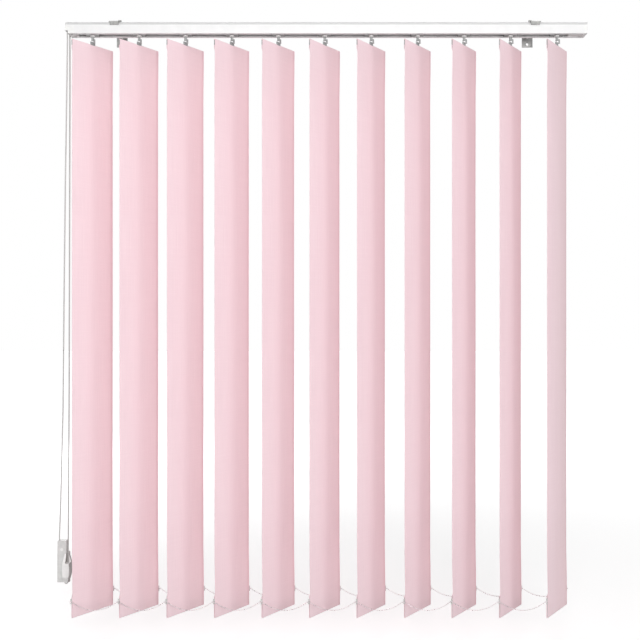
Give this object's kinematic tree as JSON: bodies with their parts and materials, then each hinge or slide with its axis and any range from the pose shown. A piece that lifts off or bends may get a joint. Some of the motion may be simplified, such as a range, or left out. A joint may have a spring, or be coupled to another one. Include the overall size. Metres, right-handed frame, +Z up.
{
  "type": "vertical blind",
  "caption": "Wall-mounted vertical blind: slim headrail with sliding, turning fabric vanes, bottom weights and chains, and a cord loop with wall tensioner.",
  "frame": {"origin": "centre of the wall brackets' screw-hole pattern, on the wall plane", "axes": "+X along the headrail to the viewer's right, +Y into the wall, +Z up"},
  "size_m": [0.9206, 0.0912, 1.0154],
  "materials": {
    "vane_cloth": "fine plain weave, matt, lightly stiffened",
    "rail_white": "white powder coat, satin",
    "cap_white": "white moulded plastic",
    "carrier_plastic": "white moulded plastic",
    "clear_plastic": "greyish translucent plastic",
    "grey_plastic": "light grey moulded plastic",
    "bright_metal": "zinc plated",
    "clip_metal": "spring steel, satin",
    "cord": "braided cord, light grey",
    "chain": "white moulded bead chain"
  },
  "bodies": {
    "root": {"headrail": "rail_white", "control_end_cap": "cap_white", "idle_end_cap": "cap_white", "control_cord": "cord", "wall_brackets": "bright_metal", "rail_clips": "clip_metal", "fixings": "cap_white", "tensioner_base": "grey_plastic", "tensioner_cover": "cap_white", "carrier_01": "carrier_plastic"},
    "tilt_rod": {"tilt_rod": "bright_metal"},
    "corner_pulley_front": {"corner_pulley_front": "grey_plastic"},
    "corner_pulley_rear": {"corner_pulley_rear": "grey_plastic"},
    "idle_pulley": {"idle_pulley": "grey_plastic"},
    "tensioner_wheel": {"tensioner_wheel": "grey_plastic"},
    "carrier_02": {"carrier_02": "carrier_plastic"},
    "carrier_03": {"carrier_03": "carrier_plastic"},
    "carrier_04": {"carrier_04": "carrier_plastic"},
    "carrier_05": {"carrier_05": "carrier_plastic"},
    "carrier_06": {"carrier_06": "carrier_plastic"},
    "carrier_07": {"carrier_07": "carrier_plastic"},
    "carrier_08": {"carrier_08": "carrier_plastic"},
    "carrier_09": {"carrier_09": "carrier_plastic"},
    "carrier_10": {"carrier_10": "carrier_plastic"},
    "carrier_11": {"carrier_11": "carrier_plastic"},
    "vane_01": {"hanger_01": "clear_plastic", "vane_01": "vane_cloth", "weight_01": "grey_plastic"},
    "vane_02": {"hanger_02": "clear_plastic", "vane_02": "vane_cloth", "weight_02": "grey_plastic"},
    "vane_03": {"hanger_03": "clear_plastic", "vane_03": "vane_cloth", "weight_03": "grey_plastic"},
    "vane_04": {"hanger_04": "clear_plastic", "vane_04": "vane_cloth", "weight_04": "grey_plastic"},
    "vane_05": {"hanger_05": "clear_plastic", "vane_05": "vane_cloth", "weight_05": "grey_plastic"},
    "vane_06": {"hanger_06": "clear_plastic", "vane_06": "vane_cloth", "weight_06": "grey_plastic"},
    "vane_07": {"hanger_07": "clear_plastic", "vane_07": "vane_cloth", "weight_07": "grey_plastic"},
    "vane_08": {"hanger_08": "clear_plastic", "vane_08": "vane_cloth", "weight_08": "grey_plastic"},
    "vane_09": {"hanger_09": "clear_plastic", "vane_09": "vane_cloth", "weight_09": "grey_plastic"},
    "vane_10": {"hanger_10": "clear_plastic", "vane_10": "vane_cloth", "weight_10": "grey_plastic"},
    "vane_11": {"hanger_11": "clear_plastic", "vane_11": "vane_cloth", "weight_11": "grey_plastic"},
    "front_chain": {"front_chain": "chain"},
    "rear_chain": {"rear_chain": "chain"}
  },
  "joints": [
    {"name": "traverse", "type": "slide", "parent": "root", "child": "carrier_11", "axis": [1, 0, 0], "range_m": [-0.56, 0], "deforming": ["front_chain", "rear_chain"]},
    {"name": "slide_02", "type": "slide", "parent": "root", "child": "carrier_02", "axis": [1, 0, 0], "range_m": [-0.057, 0.001]},
    {"name": "slide_03", "type": "slide", "parent": "root", "child": "carrier_03", "axis": [1, 0, 0], "range_m": [-0.113, 0.001]},
    {"name": "slide_04", "type": "slide", "parent": "root", "child": "carrier_04", "axis": [1, 0, 0], "range_m": [-0.169, 0.001]},
    {"name": "slide_05", "type": "slide", "parent": "root", "child": "carrier_05", "axis": [1, 0, 0], "range_m": [-0.225, 0.001]},
    {"name": "slide_06", "type": "slide", "parent": "root", "child": "carrier_06", "axis": [1, 0, 0], "range_m": [-0.281, 0.001]},
    {"name": "slide_07", "type": "slide", "parent": "root", "child": "carrier_07", "axis": [1, 0, 0], "range_m": [-0.337, 0.001]},
    {"name": "slide_08", "type": "slide", "parent": "root", "child": "carrier_08", "axis": [1, 0, 0], "range_m": [-0.393, 0.001]},
    {"name": "slide_09", "type": "slide", "parent": "root", "child": "carrier_09", "axis": [1, 0, 0], "range_m": [-0.449, 0.001]},
    {"name": "slide_10", "type": "slide", "parent": "root", "child": "carrier_10", "axis": [1, 0, 0], "range_m": [-0.505, 0.001]},
    {"name": "tilt", "type": "hinge", "parent": "root", "child": "vane_01", "pos_m": [-0.4, -0.05, 0], "axis": [0, 0, 1], "range_deg": [-40, 105.5]},
    {"name": "tilt_02", "type": "hinge", "parent": "carrier_02", "child": "vane_02", "pos_m": [-0.32, -0.05, 0], "axis": [0, 0, 1], "range_deg": [-41, 106.5]},
    {"name": "tilt_03", "type": "hinge", "parent": "carrier_03", "child": "vane_03", "pos_m": [-0.24, -0.05, 0], "axis": [0, 0, 1], "range_deg": [-41, 106.5]},
    {"name": "tilt_04", "type": "hinge", "parent": "carrier_04", "child": "vane_04", "pos_m": [-0.16, -0.05, 0], "axis": [0, 0, 1], "range_deg": [-41, 106.5]},
    {"name": "tilt_05", "type": "hinge", "parent": "carrier_05", "child": "vane_05", "pos_m": [-0.08, -0.05, 0], "axis": [0, 0, 1], "range_deg": [-41, 106.5]},
    {"name": "tilt_06", "type": "hinge", "parent": "carrier_06", "child": "vane_06", "pos_m": [0, -0.05, 0], "axis": [0, 0, 1], "range_deg": [-41, 106.5]},
    {"name": "tilt_07", "type": "hinge", "parent": "carrier_07", "child": "vane_07", "pos_m": [0.08, -0.05, 0], "axis": [0, 0, 1], "range_deg": [-41, 106.5]},
    {"name": "tilt_08", "type": "hinge", "parent": "carrier_08", "child": "vane_08", "pos_m": [0.16, -0.05, 0], "axis": [0, 0, 1], "range_deg": [-41, 106.5]},
    {"name": "tilt_09", "type": "hinge", "parent": "carrier_09", "child": "vane_09", "pos_m": [0.24, -0.05, 0], "axis": [0, 0, 1], "range_deg": [-41, 106.5]},
    {"name": "tilt_10", "type": "hinge", "parent": "carrier_10", "child": "vane_10", "pos_m": [0.32, -0.05, 0], "axis": [0, 0, 1], "range_deg": [-41, 106.5]},
    {"name": "tilt_11", "type": "hinge", "parent": "carrier_11", "child": "vane_11", "pos_m": [0.4, -0.05, 0], "axis": [0, 0, 1], "range_deg": [-41, 106.5]},
    {"name": "front_chain_swing", "type": "hinge", "parent": "vane_01", "child": "front_chain", "pos_m": [-0.42758, -0.08867, -0.9735], "axis": [0, 0, 1], "range_deg": [-106.5, 41]},
    {"name": "rear_chain_swing", "type": "hinge", "parent": "vane_01", "child": "rear_chain", "pos_m": [-0.37242, -0.01133, -0.9735], "axis": [0, 0, 1], "range_deg": [-106.5, 41]},
    {"name": "rod_spin", "type": "hinge", "parent": "root", "child": "tilt_rod", "pos_m": [0, -0.0434, 0.0036], "axis": [1, 0, 0], "range_deg": [-330, 855]},
    {"name": "corner_front_spin", "type": "hinge", "parent": "root", "child": "corner_pulley_front", "pos_m": [-0.4365, -0.0576, 0.0035], "axis": [0, 1, 0], "range_deg": [-6422.1, 5]},
    {"name": "corner_rear_spin", "type": "hinge", "parent": "root", "child": "corner_pulley_rear", "pos_m": [-0.4365, -0.0424, 0.0035], "axis": [0, 1, 0], "range_deg": [-5, 6422.1]},
    {"name": "idle_spin", "type": "hinge", "parent": "root", "child": "idle_pulley", "pos_m": [0.4335, -0.05, 0.0085], "axis": [0, 0, 1], "range_deg": [-4226.8, 5]},
    {"name": "tensioner_spin", "type": "hinge", "parent": "root", "child": "tensioner_wheel", "pos_m": [-0.4614, -0.009, -0.945], "axis": [0, 1, 0], "range_deg": [-4118.5, 5]}
  ],
  "couplings": [
    {"joint": "slide_02", "follows": "traverse", "ratio": 0.1},
    {"joint": "slide_03", "follows": "traverse", "ratio": 0.2},
    {"joint": "slide_04", "follows": "traverse", "ratio": 0.3},
    {"joint": "slide_05", "follows": "traverse", "ratio": 0.4},
    {"joint": "slide_06", "follows": "traverse", "ratio": 0.5},
    {"joint": "slide_07", "follows": "traverse", "ratio": 0.6},
    {"joint": "slide_08", "follows": "traverse", "ratio": 0.7},
    {"joint": "slide_09", "follows": "traverse", "ratio": 0.8},
    {"joint": "slide_10", "follows": "traverse", "ratio": 0.9},
    {"joint": "tilt_02", "follows": "tilt", "ratio": 1},
    {"joint": "tilt_03", "follows": "tilt", "ratio": 1},
    {"joint": "tilt_04", "follows": "tilt", "ratio": 1},
    {"joint": "tilt_05", "follows": "tilt", "ratio": 1},
    {"joint": "tilt_06", "follows": "tilt", "ratio": 1},
    {"joint": "tilt_07", "follows": "tilt", "ratio": 1},
    {"joint": "tilt_08", "follows": "tilt", "ratio": 1},
    {"joint": "tilt_09", "follows": "tilt", "ratio": 1},
    {"joint": "tilt_10", "follows": "tilt", "ratio": 1},
    {"joint": "tilt_11", "follows": "tilt", "ratio": 1},
    {"joint": "front_chain_swing", "follows": "tilt", "ratio": -1},
    {"joint": "rear_chain_swing", "follows": "tilt", "ratio": -1},
    {"joint": "rod_spin", "follows": "tilt", "ratio": 8},
    {"joint": "corner_front_spin", "follows": "traverse", "rad_per_m": 200},
    {"joint": "corner_rear_spin", "follows": "traverse", "rad_per_m": -200},
    {"joint": "idle_spin", "follows": "traverse", "rad_per_m": 131.58},
    {"joint": "tensioner_spin", "follows": "traverse", "rad_per_m": 128.21}
  ]
}
